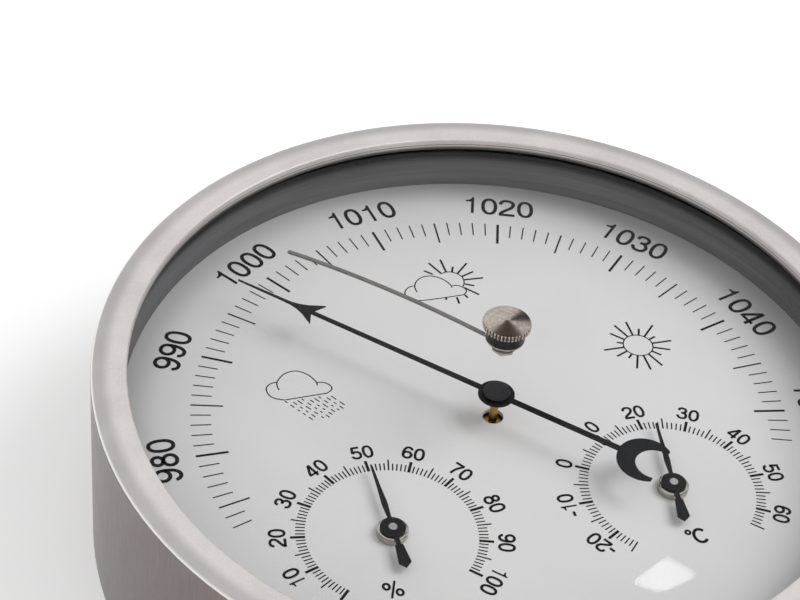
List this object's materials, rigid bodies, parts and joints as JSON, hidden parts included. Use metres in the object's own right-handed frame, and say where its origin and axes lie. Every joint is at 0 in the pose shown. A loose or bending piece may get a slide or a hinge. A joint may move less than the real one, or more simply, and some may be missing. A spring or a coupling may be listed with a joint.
{
  "type": "weather station",
  "caption": "Round steel-cased wall barometer with hygrometer and thermometer sub-dials, domed window, set hand and knob, and a working aneroid movement.",
  "frame": {"origin": "centre of the case's rear rim, in the plane that lies against the wall", "axes": "+Z out of the dial towards the viewer, +Y to the top of the dial, +X to its right"},
  "size_m": [0.132, 0.132, 0.0463],
  "materials": {
    "stainless": "satin, lightly brushed round the bezel",
    "black_rubber": "matte",
    "window": "clear and polished",
    "dark_plastic": "matte",
    "dial_white": "matte white with printed scales",
    "steel": "satin",
    "nickel": "turned and polished nickel",
    "fibre": "matte",
    "set_hand_steel": "satin",
    "brass": "satin",
    "black_metal": "satin black",
    "spring_steel": "blued",
    "nickel_silver": "satin nickel silver",
    "aluminium": "satin",
    "laminated_strip": "metal strip with a moisture-sensitive film",
    "bimetal": "satin bimetal"
  },
  "bodies": {
    "case": {"case_shell": "stainless", "case_lugs": "steel", "window_gasket": "black_rubber", "window_glass": "window", "spacer_ring": "dark_plastic", "dial_plate": "dial_white", "carrier_ring": "dark_plastic", "rear_cover": "dark_plastic", "rear_cover_screws": "steel", "knob_washer": "nickel", "glass_bush": "dark_plastic", "friction_washer": "fibre", "hairspring": "spring_steel", "hairspring_stud": "brass", "rocker_bracket": "brass", "bracket_screws": "steel", "capsule_base": "nickel_silver", "capsule_diaphragm": "nickel_silver", "capsule_post": "brass", "base_plate": "steel", "lower_plate": "brass", "upper_plate": "brass", "base_pillars": "brass", "plate_pillars": "brass", "dial_pillars": "brass", "movement_screws": "steel", "hygrometer_bush": "nickel", "hygrometer_cup": "aluminium", "hygrometer_coil": "laminated_strip", "hygrometer_bridge": "brass", "thermometer_bush": "nickel", "thermometer_cup": "aluminium", "thermometer_coil": "bimetal", "thermometer_bridge": "brass"},
    "set_hand_group": {"set_knob": "nickel", "set_hand": "set_hand_steel", "set_hand_nut": "nickel"},
    "pressure_pointer_group": {"pressure_pointer": "black_metal", "pointer_cap": "black_metal", "pointer_pipe": "brass", "pointer_arbor": "steel", "arbor_pinion": "brass", "hairspring_collet": "brass"},
    "sector_group": {"sector_gear": "brass", "sector_staff": "steel", "sector_pin": "steel"},
    "rocker_group": {"rocker_shaft": "steel", "rocker_fork": "brass", "capsule_lever": "brass"},
    "capsule_boss_group": {"capsule_boss": "brass"},
    "hygrometer_group": {"hygrometer_pointer": "black_metal", "hygrometer_staff": "steel", "hygrometer_collet": "brass"},
    "thermometer_group": {"thermometer_pointer": "black_metal", "thermometer_staff": "steel", "thermometer_collet": "brass"}
  },
  "joints": [
    {"name": "set_hand_turn", "type": "hinge", "parent": "case", "child": "set_hand_group", "pos_m": [0, 0, 0.042], "axis": [0, 0, 1], "continuous": true},
    {"name": "pressure_pointer_turn", "type": "hinge", "parent": "case", "child": "pressure_pointer_group", "pos_m": [0, 0, 0.0297], "axis": [0, 0, 1], "range_deg": [-152.7, 63.3], "stiffness_Nm_per_rad": 0.001},
    {"name": "sector_turn", "type": "hinge", "parent": "case", "child": "sector_group", "pos_m": [0, 0.0231, 0.0193], "axis": [0, 0, 1], "range_deg": [-6.4, 15.4]},
    {"name": "rocker_turn", "type": "hinge", "parent": "case", "child": "rocker_group", "pos_m": [0, 0.017, 0.0141], "axis": [0, 1, 0], "range_deg": [-15.6, 6.5]},
    {"name": "capsule_travel", "type": "slide", "parent": "case", "child": "capsule_boss_group", "axis": [0, 0, 1], "range_m": [-0.00088, 0.00037], "deforming": ["capsule_diaphragm"]},
    {"name": "hygrometer_turn", "type": "hinge", "parent": "case", "child": "hygrometer_group", "pos_m": [-0.0236, -0.0217, 0.026], "axis": [0, 0, 1], "range_deg": [-134, 136], "stiffness_Nm_per_rad": 0.0002},
    {"name": "thermometer_turn", "type": "hinge", "parent": "case", "child": "thermometer_group", "pos_m": [0.0236, -0.0217, 0.026], "axis": [0, 0, 1], "range_deg": [-126, 144], "stiffness_Nm_per_rad": 0.0002}
  ],
  "couplings": [
    {"joint": "sector_turn", "follows": "pressure_pointer_turn", "ratio": -0.1},
    {"joint": "rocker_turn", "follows": "pressure_pointer_turn", "ratio": 0.10127},
    {"joint": "capsule_travel", "follows": "pressure_pointer_turn", "m_per_rad": 0.00032406}
  ]
}
